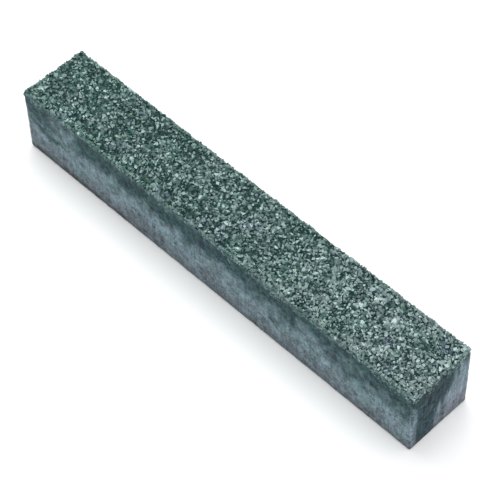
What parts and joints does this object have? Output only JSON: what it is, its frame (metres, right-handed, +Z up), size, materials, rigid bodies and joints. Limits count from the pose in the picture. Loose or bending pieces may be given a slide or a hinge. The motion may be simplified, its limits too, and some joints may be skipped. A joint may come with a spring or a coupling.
{
  "type": "sharpening stone",
  "caption": "Square-section sharpening stone of coarse green silicon carbide, with one open grit face and smooth moulded sides.",
  "frame": {"origin": "centre of the underside, on the surface that the stone lies on", "axes": "+X along the bar's length, +Y across its width, +Z up and out of the grit face"},
  "size_m": [0.15, 0.0222, 0.0241],
  "materials": {
    "fired_bond": "matt, smooth where moulded, porous on the grit face",
    "crystal_dark": "glassy facets, dark green",
    "crystal_pale": "glassy facets, pale grey-green"
  },
  "bodies": {
    "root": {"bonded_body": "fired_bond", "coarse_crystals": "crystal_dark", "fine_crystals": "crystal_pale"}
  },
  "joints": []
}
